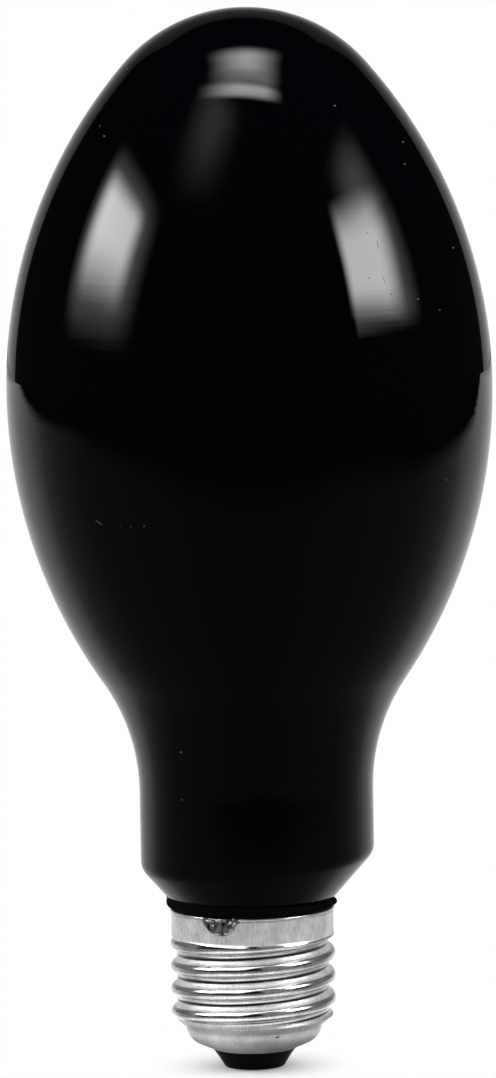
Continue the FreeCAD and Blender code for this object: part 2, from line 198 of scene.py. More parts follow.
def filterGlass():
    look = glassLook
    material, add, shader, place = startMaterial("filterGlassBlown")
    flat = add("Mapping", {"Vector": place, "Scale": [perMm(size) for size in look["ripple"]]})
    ripple = add("TexNoise", {"Vector": flat, "Scale": 1.0, "Detail": 1.0})
    height = add("SeparateXYZ", {0: place}).outputs[2]
    depth = look["rippleDepth"] * mm
    fading = add("MapRange", {"Value": height, "From": [edge * mm for edge in look["rippleTop"]],
                              "To": (depth, look["rippleAbove"] * depth)})
    bump = add("Bump", {"Strength": 1.0, "Distance": fading, "Height": ripple})

    specks = add("TexVoronoi", {"Vector": place, "Scale": perMm(look["dustSpacing"])}).outputs["Distance"]
    speck = add("MapRange", {"Value": specks, "From": look["dustEdge"], "To": (1.0, 0.0)})
    slant = add("Mapping", {"Vector": place, "Rotation": look["scratchSlant"],
                            "Scale": look["scratchStretch"]})
    lines = add("TexVoronoi", {"Vector": slant, "Scale": perMm(look["scratchSpacing"])}).outputs["Distance"]
    scratch = add("MapRange", {"Value": lines, "From": look["scratchEdge"], "To": (1.0, 0.0)})
    worn = add("Math", {"operation": "MAXIMUM", 0: speck, 1: scratch})
    nearest = 10.0  # far from every mark
    for middle, halfLength, halfWidth, slope in glassMarks:
        reach = markReach(add, place, middle, (halfLength, look["markDepth"], halfWidth), slope)
        nearest = add("Math", {"operation": "MINIMUM", 0: reach, 1: nearest})
    spot = add("MapRange", {"Value": nearest, "From": look["markEdge"], "To": (1.0, 0.0)})
    marks = add("Math", {"operation": "MAXIMUM", 0: worn, 1: spot})
    colour = add("Mix", {"data_type": "RGBA", "Factor": marks, 6: look["colour"], 7: look["dustColour"]})
    rough = add("MapRange", {"Value": marks, "To": (look["roughness"], look["dustRoughness"])})
    setNode(shader, {"Base Color": colour.outputs[2], "Roughness": rough, "IOR": look["ior"], "Normal": bump})
    return material


bulbSizes = {
    "axisShift": 1.0,
    "stub": 10.8,
    "stubBottom": 16.0,
    "coneFoot": 24.6,
    "coneSlope": 48.5,
    "fillet": 3.0,
    "neck": 18.55,
    "flare": 31.0,
    "lower": 81.4,
    "nose": 25.3,
    "widest": 38.35,
    "widestHeight": 108.25,
    "top": 168.3,
    "steps": 192,
}


def bulbSection(angle):
    size = bulbSizes
    shift, neck, widest, midway = size["axisShift"], size["neck"], size["widest"], size["widestHeight"]

    # The stub and the cone are round about the cap's axis, the rest about the bulb's own.
    stub = math.sqrt(size["stub"] ** 2 - (shift * math.sin(angle)) ** 2) - shift * math.cos(angle)
    meet = math.hypot(shift + neck * math.cos(angle), neck * math.sin(angle))
    meetHeight = size["coneFoot"] + (meet - size["stub"]) * math.tan(math.radians(size["coneSlope"]))
    slope = math.atan2(meetHeight - size["coneFoot"], neck - stub)
    tangent = size["fillet"] * math.tan((math.pi / 2 - slope) / 2)
    coneEnd = (neck - tangent * math.cos(slope), meetHeight - tangent * math.sin(slope))
    filletCentre = (neck - size["fillet"], meetHeight + tangent)

    rise = size["top"] - midway
    upper = (widest ** 2 + rise ** 2 - 2 * rise * size["nose"]) / (2 * (widest - size["nose"]))
    noseAngle = math.degrees(math.atan2(rise - size["nose"], upper - widest))
    flareX = neck + size["flare"]
    flareDrop = math.sqrt((size["lower"] + size["flare"]) ** 2 - (flareX - widest + size["lower"]) ** 2)
    flareAngle = math.degrees(math.atan2(flareDrop, flareX - widest + size["lower"]))

    run = lineRun((0, size["stubBottom"]), (stub, size["stubBottom"]), 3)
    run += lineRun((stub, size["stubBottom"]), (stub, size["coneFoot"]), 4)[1:]
    run += lineRun((stub, size["coneFoot"]), coneEnd, 10)[1:]
    run += arcRun(filletCentre, size["fillet"], math.degrees(slope) - 90, 0, 8)[1:]
    run += lineRun((neck, filletCentre[1]), (neck, midway - flareDrop), 10)[1:]
    run += arcRun((flareX, midway - flareDrop), size["flare"], 180, 180 - flareAngle, 20)[1:]
    run += arcRun((widest - size["lower"], midway), size["lower"], -flareAngle, 0, 48)[1:]
    run += arcRun((widest - upper, midway), upper, 0, noseAngle, 48)[1:]
    run += arcRun((0, size["top"] - size["nose"]), size["nose"], noseAngle, 90, 28)[1:]
    return run


bulb = turnedPiece("bulbGlass", bulbSection, bulbSizes["steps"], filterGlass(),
                   shift=bulbSizes["axisShift"], closed=False)
settle(bulb, "black_glass", "glass_bulb")


# Nickel-plated steel, drawn and rolled: a satin grey with fine upright drawing lines on the band and
# in the grooves, and bright mirror crests where the rollers pressed the thread.
nickelLook = {
    "colour": "#f0f1f1",
    "dullColour": "#bebfbf",
    # Painted shade colour for the groove roots and the bowl. The real nick on the bowl takes this colour too.
    "nickAndShadeColour": "#26231f",
    "crestRoughness": 0.14,
    "satinRoughness": 0.42,
    "satinMetallic": 0.58,
    "grain": (0.22, 0.22, 1.1),
    "grainDepth": 0.012,
    "blotch": 2.6,
    "streak": (0.7, 1.3),
    "wave": 1.2,
    "waveDepth": 0.009,
    "nickPlace": (3.6, -9.5, 6.3),
    "nickSize": (0.5, 6.0, 0.22),
    "nickEdge": (0.6, 1.1),
    "nickLevel": 0.85,
}


def platedNickel():
    look = nickelLook
    material, add, shader, place = startMaterial("nickelPlateRolled")
    polish, soil = (add("Attribute", {"attribute_name": name}).outputs["Fac"] for name in ("polish", "soil"))
    nickReach = markReach(add, place, look["nickPlace"], look["nickSize"])
    nick = add("MapRange", {"Value": nickReach, "From": look["nickEdge"], "To": (look["nickLevel"], 0.0)})
    upright = add("Mapping", {"Vector": place, "Scale": [perMm(size) for size in look["grain"]]})
    grain = add("TexNoise", {"Vector": upright, "Scale": 1.0, "Detail": 3.0})
    grainDepth = add("MapRange", {"Value": polish, "To": (look["grainDepth"] * mm, 0.0)})
    grainBump = add("Bump", {"Strength": 1.0, "Distance": grainDepth, "Height": grain})
    waves = add("TexNoise", {"Vector": place, "Scale": perMm(look["wave"]), "Detail": 1.0})
    waveBump = add("Bump", {"Strength": 1.0, "Distance": look["waveDepth"] * mm, "Height": waves,
                            "Normal": grainBump})
    blotch = add("TexNoise", {"Vector": place, "Scale": perMm(look["blotch"]), "Detail": 4.0})
    patchy = add("Math", {"operation": "ADD", 0: grain, 1: blotch})
    streak = add("MapRange", {"Value": patchy, "From": look["streak"]})
    tone = add("Mix", {"data_type": "RGBA", "Factor": streak, 6: look["dullColour"], 7: look["colour"]})
    # Painted shade from the thread's attribute and the real nick both pull the tone towards this dark colour.
    dark = add("Math", {"operation": "MAXIMUM", 0: nick, 1: soil})
    nickedAndShaded = add("Mix", {"data_type": "RGBA", "Factor": dark, 6: tone.outputs[2], 7: look["nickAndShadeColour"]})
    rough = add("MapRange", {"Value": polish, "To": (look["satinRoughness"], look["crestRoughness"])})
    metallic = add("MapRange", {"Value": polish, "To": (look["satinMetallic"], 1.0)})
    setNode(shader, {"Base Color": nickedAndShaded.outputs[2], "Metallic": metallic, "Roughness": rough,
                     "Normal": waveBump})
    return material


shellSizes = {
    "crest": 13.1,
    "band": 12.88,
    "sheet": 0.3,
    "bore": 11.75,
    "waist": 10.75,
    "lip": 6.7,
    "lipHeight": 3.1,
    "bowlRadius": 2.8,
    "bowlSlope": 24.0,
    "footSlope": 38.5,
    "taperFoot": 21.0,
    "taperTop": 21.5,
    "rim": 25.7,
    "lining": 24.5,
    "creaseFoot": 0.7,  # the crease's heights are measured down from the rim
    "creaseLow": 0.65,
    "creaseHigh": 0.46,
    "creaseDepth": 0.22,
    "curl": 0.2,
    "steps": 320,
    "threadRings": 150,
    "sharpAngle": 42,
}
threadSizes = {
    "Pitch": 3.629,
    "Depth": 1.05,
    "Crest": 13.1,
    "Groove Height": 12.83,  # middle of the first groove on the +X side
    "Roll Top": 21.5,
    "Roll Blend": 0.6,
    "Band Foot": 21.2,
    "Band Blend": 0.3,
    "Thread Foot": 8.4,
    "Satin Middle": -0.165,  # share of a pitch above the groove's middle
    "Satin Half": 0.085,
    "Satin Blend": 0.04,
    # Painted shade: a band along each groove's root, and a lighter even layer over the bowl
    "Soil Middle": 0.012,
    "Root Shade Half": 0.085,
    "Bowl Shade": 0.3,
    "Rim Foot": 25.25,
    "Rim": 25.4,
    "Rim Polish": 0.7,
}
threadShares = ("Satin Middle", "Satin Half", "Satin Blend", "Soil Middle", "Root Shade Half", "Bowl Shade",
                "Rim Polish")


def shellSection(angle):
    size = shellSizes
    slope = math.radians(size["bowlSlope"])
    foot = math.radians(size["footSlope"])
    waist, crest, band, bore, rim = (size[name] for name in ("waist", "crest", "band", "bore", "rim"))
    centre = waist - size["bowlRadius"]
    turn = centre + size["bowlRadius"] * math.sin(slope)
    turnHeight = size["lipHeight"] + (turn - size["lip"]) * math.tan(slope)
    waistHeight = turnHeight + size["bowlRadius"] * math.cos(slope)
    footTop = waistHeight + (crest - waist) * math.tan(foot)
    inside = waistHeight + size["sheet"] * (1 - math.sin(foot)) / math.cos(foot)
    innerWaist = waist - size["sheet"]
    innerBowl = size["bowlRadius"] - size["sheet"]
    boreFoot = inside + (bore - innerWaist) * math.tan(foot)
    bandInside = band - size["sheet"]
    crease = band - size["creaseDepth"]

    run = lineRun((size["lip"], size["lipHeight"]), (turn, turnHeight), 10)
    run += arcRun((centre, waistHeight), size["bowlRadius"], size["bowlSlope"] - 90, 0, 16)[1:]
    run += lineRun((waist, waistHeight), (crest, footTop), 30)[1:]
    run += lineRun((crest, footTop), (crest, size["taperFoot"]), size["threadRings"])[1:]
    run += lineRun((crest, size["taperFoot"]), (band, size["taperTop"]), 14)[1:]
    run += lineRun((band, size["taperTop"]), (band, rim - size["creaseFoot"]), 24)[1:]
    run += [(crease, rim - size["creaseLow"]), (crease, rim - size["creaseHigh"])]
    run += arcRun((band, rim - size["curl"]), size["curl"], -60, 60, 6)
    run += [(band, rim), (bandInside, rim), (bandInside, size["lining"])]
    run += [(bore, size["lining"] - bandInside + bore), (bore, boreFoot), (innerWaist, inside)]
    run += [(centre + innerBowl * math.sin(slope), waistHeight - innerBowl * math.cos(slope))]
    run += [(size["lip"] - size["sheet"] * math.sin(slope),
             size["lipHeight"] + size["sheet"] * math.cos(slope))]
    return run


def startTree(name, sizes):
    tree = bpy.data.node_groups.new(name, "GeometryNodeTree")
    sockets = [("Geometry", "Geometry"), *((size, "Float") for size in sizes), ("Material", "Material")]
    for socketName, kind in sockets:
        tree.interface.new_socket(socketName, in_out="INPUT", socket_type="NodeSocket" + kind)
    tree.interface.new_socket("Geometry", in_out="OUTPUT", socket_type="NodeSocketGeometry")
    add = partial(addNode, tree)
    return tree, add, add("NodeGroupInput").outputs


def endTree(add, given, geometry):
    real = add("GeometryNodeRealizeInstances", {"Geometry": geometry})
    dressed = add("GeometryNodeSetMaterial", {"Geometry": real, "Material": given["Material"]})
    add("NodeGroupOutput", {0: dressed})


# Plain mesh that a tree makes of an object. The sizes are in mm, apart from the shares.
def treeMesh(item, tree, sizes, shares, material):
    values = {name: size if name in shares else size * mm for name, size in sizes.items()}
    values["Material"] = material
    modifier = item.modifiers.new(tree.name, "NODES")
    modifier.node_group = tree
    for socket in tree.interface.items_tree:
        if socket.in_out == "INPUT" and socket.name in values:
            modifier[socket.identifier] = values[socket.name]
    mesh = bpy.data.meshes.new_from_object(item.evaluated_get(bpy.context.evaluated_depsgraph_get()))
    item.modifiers.remove(modifier)
    return mesh


# Knuckle thread: two equal arcs a pitch, along a right-hand helix, and each groove fades out at the same
# height under the band. Each row is a name, an operation and what it works on.
threadSteps = [
    ("acrossSquare", "MULTIPLY", "across", "across"),
    ("awaySquare", "MULTIPLY", "away", "away"),
    ("reach", "ADD", "acrossSquare", "awaySquare"),
    ("radius", "SQRT", "reach"),
    ("angle", "ARCTAN2", "away", "across"),
    ("share", "DIVIDE", "angle", 2 * math.pi),
    ("turn", "FRACT", "share"),
    ("rise", "SUBTRACT", "height", "Groove Height"),
    ("pitches", "DIVIDE", "rise", "Pitch"),
    ("climb", "SUBTRACT", "pitches", "turn"),
    ("lap", "ROUND", "climb"),
    ("apart", "SUBTRACT", "climb", "lap"),
    ("gap", "ABSOLUTE", "apart"),
    ("offset", "MULTIPLY", "gap", "Pitch"),
    ("quarter", "DIVIDE", "Pitch", 4),
    ("half", "DIVIDE", "Pitch", 2),
    ("quarterSquare", "MULTIPLY", "quarter", "quarter"),
    ("spread", "DIVIDE", "quarterSquare", "Depth"),
    ("quarterDepth", "DIVIDE", "Depth", 4),
    ("knuckle", "ADD", "spread", "quarterDepth"),
    ("knuckleSquare", "MULTIPLY", "knuckle", "knuckle"),
    ("offsetSquare", "MULTIPLY", "offset", "offset"),
    ("rootRest", "SUBTRACT", "knuckleSquare", "offsetSquare"),
    ("rootDrop", "SQRT", "rootRest"),
    ("rootBase", "SUBTRACT", "Depth", "knuckle"),
    ("rootSink", "ADD", "rootBase", "rootDrop"),
    ("fromCrest", "SUBTRACT", "half", "offset"),
    ("crestSquare", "MULTIPLY", "fromCrest", "fromCrest"),
    ("crestRest", "SUBTRACT", "knuckleSquare", "crestSquare"),
    ("crestDrop", "SQRT", "crestRest"),
    ("crestSink", "SUBTRACT", "knuckle", "crestDrop"),
    ("inRoot", "LESS_THAN", "offset", "quarter"),
    ("onCrest", "SUBTRACT", 1.0, "inRoot"),
    ("rootPart", "MULTIPLY", "inRoot", "rootSink"),
    ("crestPart", "MULTIPLY", "onCrest", "crestSink"),
    ("sink", "ADD", "rootPart", "crestPart"),
    ("below", "SUBTRACT", "Roll Top", "height"),
    ("left", "DIVIDE", "below", "Roll Blend"),
    ("fadeStart", "MAXIMUM", "left", 0.0),
    ("fade", "MINIMUM", "fadeStart", 1.0),
    ("fadedSink", "MULTIPLY", "sink", "fade"),
    ("rolled", "SUBTRACT", "Crest", "fadedSink"),
    ("newRadius", "MINIMUM", "radius", "rolled"),
    ("scale", "DIVIDE", "newRadius", "radius"),
    ("newAcross", "MULTIPLY", "across", "scale"),
    ("newAway", "MULTIPLY", "away", "scale"),
    ("fromSatin", "SUBTRACT", "apart", "Satin Middle"),
    ("satinGap", "ABSOLUTE", "fromSatin"),
    ("satinEdge", "ADD", "Satin Half", "Satin Blend"),
    ("fromSoil", "SUBTRACT", "apart", "Soil Middle"),
    ("soilGap", "ABSOLUTE", "fromSoil"),
    ("bandTop", "ADD", "Band Foot", "Band Blend"),
    ("footTop", "ADD", "Thread Foot", "Band Blend"),
]


# Rolls the thread into the drawn wall, and marks where it is polished and where shade is painted.
def threadTree(sizes):
    tree, add, given = startTree("rolledThread", sizes)
    place = add("SeparateXYZ", {0: add("GeometryNodeInputPosition")})
    value = dict(zip(("across", "away", "height"), place.outputs))
    value.update({name: given[name] for name in sizes})
    for name, operation, *operands in threadSteps:
        settings = {index: value.get(operand, operand) for index, operand in enumerate(operands)}
        value[name] = add("Math", {"operation": operation, **settings})
    height = value["height"]
    moved = add("CombineXYZ", {0: value["newAcross"], 1: value["newAway"], 2: height})
    marked = add("GeometryNodeSetPosition", {"Geometry": given["Geometry"], "Position": moved})

    # The rollers brighten the crests and the foot of each groove, and leave the rest satin. Painted shade
    # darkens the roots and, more lightly, the bowl.
    smooth = {"interpolation_type": "SMOOTHSTEP"}
    bright = add("MapRange", {**smooth, "Value": value["satinGap"],
                              "From": (given["Satin Half"], value["satinEdge"])})
    belowBand = add("MapRange", {**smooth, "Value": height, "From": (given["Band Foot"], value["bandTop"]),
                                 "To": (1.0, 0.0)})
    aboveFoot = add("MapRange", {**smooth, "Value": height, "From": (given["Thread Foot"], value["footTop"])})
    rimEdge = add("MapRange", {"Value": height, "From": (given["Rim Foot"], given["Rim"]),
                               "To Max": given["Rim Polish"]})
    onThread = add("Math", {"operation": "MULTIPLY", 0: belowBand, 1: aboveFoot})
    polish = add("Math", {"operation": "MULTIPLY_ADD", 0: bright, 1: onThread, 2: rimEdge})
    # Painted shade: darkest in the roots, lighter over the bowl
    rootShade = add("MapRange", {**smooth, "Value": value["soilGap"], "From": (given["Root Shade Half"], 0.0)})
    inGroove = add("Math", {"operation": "MULTIPLY", 0: rootShade, 1: onThread})
    onBowl = add("Math", {"operation": "SUBTRACT", 0: 1.0, 1: aboveFoot})
    soil = add("Math", {"operation": "MULTIPLY_ADD", 0: onBowl, 1: given["Bowl Shade"], 2: inGroove})
    for name, level in (("polish", polish), ("soil", soil)):
        marked = add("GeometryNodeStoreNamedAttribute",
                     {"data_type": "FLOAT", "domain": "POINT", "Name": name, "Geometry": marked,
                      "Value": level})
    endTree(add, given, marked)
    return tree


nickel = platedNickel()
shell = turnedPiece("screwShell", shellSection, shellSizes["steps"], nickel)
drawnWall = shell.data
shell.data = treeMesh(shell, threadTree(threadSizes), threadSizes, threadShares, nickel)
bpy.data.meshes.remove(drawnWall)
shell.data.shade_smooth()
shell.data.set_sharp_from_angle(angle=math.radians(shellSizes["sharpAngle"]))
settle(shell, "nickel_shell", "screw_shell")


# Baked black cement: dead matt and slightly grainy, with no highlight at all.
cementLook = {"colour": "#050505", "roughness": 0.95, "specular": 0.1, "grit": 0.35, "gritDepth": 0.05,
              "gritStrength": 0.6}


def bakedCement():
    look = cementLook
    material, add, shader, place = startMaterial("cementBaked")
    grit = add("TexNoise", {"Vector": place, "Scale": perMm(look["grit"]), "Detail": 4.0})
    bump = add("Bump", {"Strength": look["gritStrength"], "Distance": look["gritDepth"] * mm, "Height": grit})
    setNode(shader, {"Base Color": look["colour"], "Roughness": look["roughness"],
                     "Specular IOR Level": look["specular"], "Normal": bump})
    return material


# foot gives steps out from the overhang and up from the bead's underside, belly steps out from the
# bulge and shares of the bead's height, lip a step out and one down from the bead's top.
cementSizes = {
    "stub": 10.8,
    "bore": 11.75,
    "bandInside": 12.58,
    "bottom": 18.0,
    "lining": 24.5,
    "rim": 25.7,
    "rimStep": 0.12,
    "coneFoot": 24.6,
    "coneSlope": 48.5,
    "overhang": 13.33,
    "beadTop": 27.3,
    "bulge": 13.6,
    "foot": ((-0.35, -0.06), (-0.1, 0.0), (0.12, 0.1)),
    "belly": ((-0.04, 0.34), (0.0, 0.62), (-0.03, 0.9), (-0.14, 1.2)),
    "lip": (0.1, 0.12),
    "unevenness": 0.3,
    "sideUnevenness": 0.09,
    "lumpRate": 2.2,
    "lumpShift": 5.3,
    "leftSwell": 0.12,
    "rightSag": 1.0,
    "clear": 0.16,
    "rightClear": 0.3,
    "leftClear": 0.2,
    "steps": 192,
}


def cementSection(angle):
    size = cementSizes
    across = math.cos(angle)
    stub, bore, bandInside, rim = (size[name] for name in ("stub", "bore", "bandInside", "rim"))
    spot = Vector((across * size["lumpRate"], math.sin(angle) * size["lumpRate"], 0.0))
    uneven = size["sideUnevenness"] * noise.noise(spot) - size["leftSwell"] * across
    top = size["beadTop"] + size["unevenness"] * (1 + noise.noise(spot + Vector((0, 0, size["lumpShift"]))))
    top -= size["rightSag"] * max(0, across) ** 2
    topRadius = stub + (top - size["coneFoot"]) / math.tan(math.radians(size["coneSlope"]))
    bulge = size["bulge"] + 0.5 * uneven
    side = "rightClear" if across > 0 else "leftClear"
    foot = rim + size["clear"] + size[side] * across ** 2
    rise = (top - foot) / (size["beadTop"] - rim)
    run = [(stub, size["bottom"]), (bore, size["bottom"]), (bore, size["lining"] - bandInside + bore)]
    run += [(bandInside, size["lining"]), (bandInside, rim), (bandInside + size["rimStep"], rim)]
    run += [(size["overhang"] + out, foot + up) for out, up in size["foot"]]
    run += [(bulge + out, foot + share * rise) for out, share in size["belly"]]
    run += [(topRadius + size["lip"][0], top - size["lip"][1]), (topRadius, top), (stub, size["coneFoot"])]
    return run


bead = turnedPiece("cementBead", cementSection, cementSizes["steps"], bakedCement(), sharpAngle=60)
settle(bead, "cement", "cap_cement")


# Pressed black glass: deep gloss black, a little less flat than the blown bulb.
insulatorLook = {"colour": "#040405", "roughness": 0.16, "ior": 1.52, "pressWave": 2.5, "pressDepth": 0.02,
                 "pressStrength": 0.5}


def pressedGlass():
    look = insulatorLook
    material, add, shader, place = startMaterial("blackGlassPressed")
    wave = add("TexNoise", {"Vector": place, "Scale": perMm(look["pressWave"]), "Detail": 2.0})
    bump = add("Bump", {"Strength": look["pressStrength"], "Distance": look["pressDepth"] * mm,
                        "Height": wave})
    setNode(shader, {"Base Color": look["colour"], "Roughness": look["roughness"], "IOR": look["ior"],
                     "Normal": bump})
    return material


insulatorRun = [
    (1.6, 0.3), (4.0, 0.3), (4.0, 0.14), (4.05, 0.1), (4.3, 0.1), (4.5, 0.1), (4.7, 0.15), (4.85, 0.28),
    (4.92, 0.45), (5.0, 0.6), (5.19, 0.88), (5.4, 1.2), (5.6, 1.53), (5.82, 1.85), (6.05, 2.17), (6.28, 2.49),
    (6.5, 2.8), (6.7, 3.1), (6.578, 3.374), (8.967, 4.438), (10.45, 6.87), (1.6, 6.87),
]
insulator = turnedPiece("insulatorButton", lambda angle: insulatorRun, 128, pressedGlass(), sharpAngle=50)
settle(insulator, "insulator_glass", "cap_insulator")


# Drawn brass, pressed flat on the contact: warm yellow metal with rubbed, slightly dull rings.
brassLook = {"colour": "#b8935a", "dullColour": "#8f7246", "roughness": 0.3, "ring": 0.25}


def drawnBrass():
    look = brassLook
    material, add, shader, place = startMaterial("brassDrawn")
    rub = add("TexNoise", {"Vector": place, "Scale": perMm(look["ring"]), "Detail": 3.0})
    tone = add("Mix", {"data_type": "RGBA", "Factor": rub, 6: look["dullColour"], 7: look["colour"]})
    setNode(shader, {"Base Color": tone.outputs[2], "Metallic": 1.0, "Roughness": look["roughness"]})
    return material


eyeletRun = [
    (1.3, 0.02), (1.32, 0.0), (3.85, 0.0), (3.95, 0.04), (4.0, 0.12), (4.0, 0.3), (1.6, 0.3), (1.6, 7.47),
    (1.3, 7.47),
]
eyelet = turnedPiece("contactRing", lambda angle: eyeletRun, 96, drawnBrass())
settle(eyelet, "eyelet_brass", "contact_eyelet")


# Tin-lead solder, put on by hand: dull grey metal, lumpy and folded, darker in the hollows of its folds.
solderLook = {
    "colour": "#c6c7c7",
    "hollowColour": "#242424",
    "hollowEdge": (0.36, 0.6),
    "roughness": 0.3,
    "fold": 1.5,
    "foldDepth": 0.42,
    "foldRoughness": 0.55,
    "foldDistortion": 0.8,
    "slant": (0.3, 0.7, 0.0),
    "stretch": (1.0, 1.0, 0.55),
}


def handSolder():
    look = solderLook
    material, add, shader, place = startMaterial("solderHandLaid")
    slant = add("Mapping", {"Vector": place, "Rotation": look["slant"], "Scale": look["stretch"]})
    fold = add("TexNoise", {"Vector": slant, "Scale": perMm(look["fold"]), "Detail": 3.0,
                            "Roughness": look["foldRoughness"], "Distortion": look["foldDistortion"]})
    # Darker where the fold height is low, in the hollows of the folds
    tone = add("MapRange", {"Value": fold, "From": look["hollowEdge"]})
    colour = add("Mix", {"data_type": "RGBA", "Factor": tone, 6: look["hollowColour"], 7: look["colour"]})
    bump = add("Bump", {"Strength": 1.0, "Distance": look["foldDepth"] * mm, "Height": fold})
    setNode(shader, {"Base Color": colour.outputs[2], "Metallic": 1.0, "Roughness": look["roughness"],
                     "Normal": bump})
    return material


solder = handSolder()
patchSizes = {
    "band": 12.88,
    "azimuth": 270 - 23.8,
    "topHalf": 3.8,
    "tipHalf": 1.55,
    "taper": 0.85,
    "top": 25.68,
    "bottom": 22.9,
    "tipSide": 0.15,
    "cornerLift": 0.4,
    "ragged": 0.22,
    "raggedRate": 5.0,
    "bulge": 0.42,
    "endBulge": 0.62,  # share of the bulge that is left at the top and the tip
    "edgeRise": 3.2,
    "tipShare": 0.2,
    "tipRise": 2.6,
    "tipStart": 0.05,
    "lumps": 0.16,
    "lumpRate": 0.9,
    "fineRate": 2.3,
    "fineShare": 0.4,
    "thinnest": 0.03,
    "columns": 56,
    "rows": 32,
}


# Half width, height and thickness of the patch, at a side from -1 to 1 and a share of its height.
def patchPoint(side, share):
    size = patchSizes
    foot = size["bottom"] + size["cornerLift"] * (side - size["tipSide"]) ** 2
    height = foot + (size["top"] - foot) * share
    ragged = size["ragged"] * noise.noise(Vector((share * size["raggedRate"], math.copysign(3, side), 1.7)))
    half = size["tipHalf"] + (size["topHalf"] - size["tipHalf"]) * share ** size["taper"] + ragged
    tip = 1
    if share < size["tipShare"]:
        tip = size["tipRise"] * share * size["tipHalf"] / half + size["tipStart"]
    swell = min(1, max(0, min(1 - abs(side), tip)) * size["edgeRise"]) ** 0.5
    spot = Vector((side * half * size["lumpRate"], height * size["lumpRate"], 4.0))
    fine = size["fineShare"]
    lump = noise.noise(spot) * (1 - fine) + noise.noise(spot * size["fineRate"]) * fine
    middle = size["endBulge"] + (1 - size["endBulge"]) * math.sin(math.pi * share)
    return half, height, max(swell * (size["bulge"] * middle + size["lumps"] * lump), size["thinnest"])


# V-shaped patch: a swollen front sheet and a back sheet on the band, joined round the edge.
def solderPatch():
    size = patchSizes
    sheet = bmesh.new()
    columns, rows = size["columns"], size["rows"]
    grids = []
    for front in (True, False):
        grid = []
        for row in range(rows + 1):
            line = []
            for column in range(columns + 1):
                side = 2 * column / columns - 1
                half, height, thick = patchPoint(side, row / rows)
                azimuth = math.radians(size["azimuth"]) + side * half / size["band"]
                onEdge = column in (0, columns) or row in (0, rows)
                radius = size["band"] + (thick if front and not onEdge else 0.0)
                line.append(sheet.verts.new((radius * math.cos(azimuth) * mm, radius * math.sin(azimuth) * mm,
                                             height * mm)))
            grid.append(line)
        grids.append(grid)
    for grid in grids:
        for row in range(rows):
            for column in range(columns):
                sheet.faces.new((grid[row][column], grid[row][column + 1],
                                 grid[row + 1][column + 1], grid[row + 1][column]))
    return finishMesh("solderPatch", sheet, solder, sharpAngle=70)


patch = solderPatch()
settle(patch, "solder", "side_solder")

plugRun = [(0.0, 0.08), (0.5, 0.06), (0.9, 0.02), (1.2, 0.0), (1.3, 0.02), (1.3, 2.5), (0.0, 2.5)]
plug = turnedPiece("contactPlug", lambda angle: plugRun, 64, solder, closed=False, sharpAngle=50)
settle(plug, "solder", "contact_solder")


# Tinned copper wire, two strands twisted by hand: small round bright wires with a soft grey shine.
wireLook = {"colour": "#9a9997", "roughness": (0.22, 0.47), "scuff": 0.3}


def tinnedWire():
    look = wireLook
    material, add, shader, place = startMaterial("copperWireTinned")
    scuff = add("TexNoise", {"Vector": place, "Scale": perMm(look["scuff"]), "Detail": 2.0})
    rough = add("MapRange", {"Value": scuff, "To": look["roughness"]})
    setNode(shader, {"Base Color": look["colour"], "Metallic": 1.0, "Roughness": rough})
    return material


wire = tinnedWire()
strandSizes = {"Wire": 0.17, "Twist": 0.17, "Turns": 11.0, "Spacing": 0.12}
leadRoute = {
    "azimuth": -103.0,
    "places": [(3.0, 16.0), (3.0, 13.0), (11.275, 13.0), (11.275, 23.5), (12.36, 24.6), (12.36, 25.92),
               (13.12, 25.92), (13.16, 24.0)],
}


def strandTree(sizes):
    tree, add, given = startTree("twistedStrand", sizes)
    path = add("GeometryNodeResampleCurve",
               {"mode": "LENGTH", "Curve": given["Geometry"], "Length": given["Spacing"]})
    share = add("GeometryNodeSplineParameter").outputs["Factor"]
    whole = add("Math", {"operation": "MULTIPLY", 0: share, 1: given["Turns"]})
    angle = add("Math", {"operation": "MULTIPLY", 0: whole, 1: 2 * math.pi})
    wireRound = add("GeometryNodeCurvePrimitiveCircle", {"Resolution": 10, "Radius": given["Wire"]})
    both = add("GeometryNodeJoinGeometry")
    for start in (0.0, math.pi):
        turned = add("Math", {"operation": "ADD", 0: angle, 1: start})
        away = add("VectorRotate", {"rotation_type": "AXIS_ANGLE", "Vector": add("GeometryNodeInputNormal"),
                                    "Axis": add("GeometryNodeInputTangent"), "Angle": turned})
        offset = add("VectorMath", {"operation": "SCALE", 0: away, "Scale": given["Twist"]})
        moved = add("GeometryNodeSetPosition", {"Geometry": path, "Offset": offset})
        tube = add("GeometryNodeCurveToMesh", {"Fill Caps": True, "Curve": moved, "Profile Curve": wireRound})
        setNode(both, {0: tube})
    endTree(add, given, add("GeometryNodeSetShadeSmooth", {"Geometry": both}))
    return tree


def leadStrand():
    turn = math.radians(leadRoute["azimuth"])
    curve = bpy.data.curves.new("leadRoute", "CURVE")
    curve.dimensions = "3D"
    spline = curve.splines.new("NURBS")
    spline.points.add(len(leadRoute["places"]) - 1)
    for point, (radius, height) in zip(spline.points, leadRoute["places"]):
        point.co = (radius * math.cos(turn) * mm, radius * math.sin(turn) * mm, height * mm, 1)
    spline.order_u = 3
    spline.use_endpoint_u = True
    spline.resolution_u = 12
    guide = bpy.data.objects.new("leadRoute", curve)
    scene.collection.objects.link(guide)
    mesh = treeMesh(guide, strandTree(strandSizes), strandSizes, ("Turns",), wire)
    bpy.data.objects.remove(guide)
    mesh.name = "leadStrand"
    strand = bpy.data.objects.new("leadStrand", mesh)
    scene.collection.objects.link(strand)
    return strand


strand = leadStrand()
settle(strand, "lead_wire", "side_lead_wire")
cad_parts["centre_lead_wire"].data.materials.clear()
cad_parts["centre_lead_wire"].data.materials.append(wire)


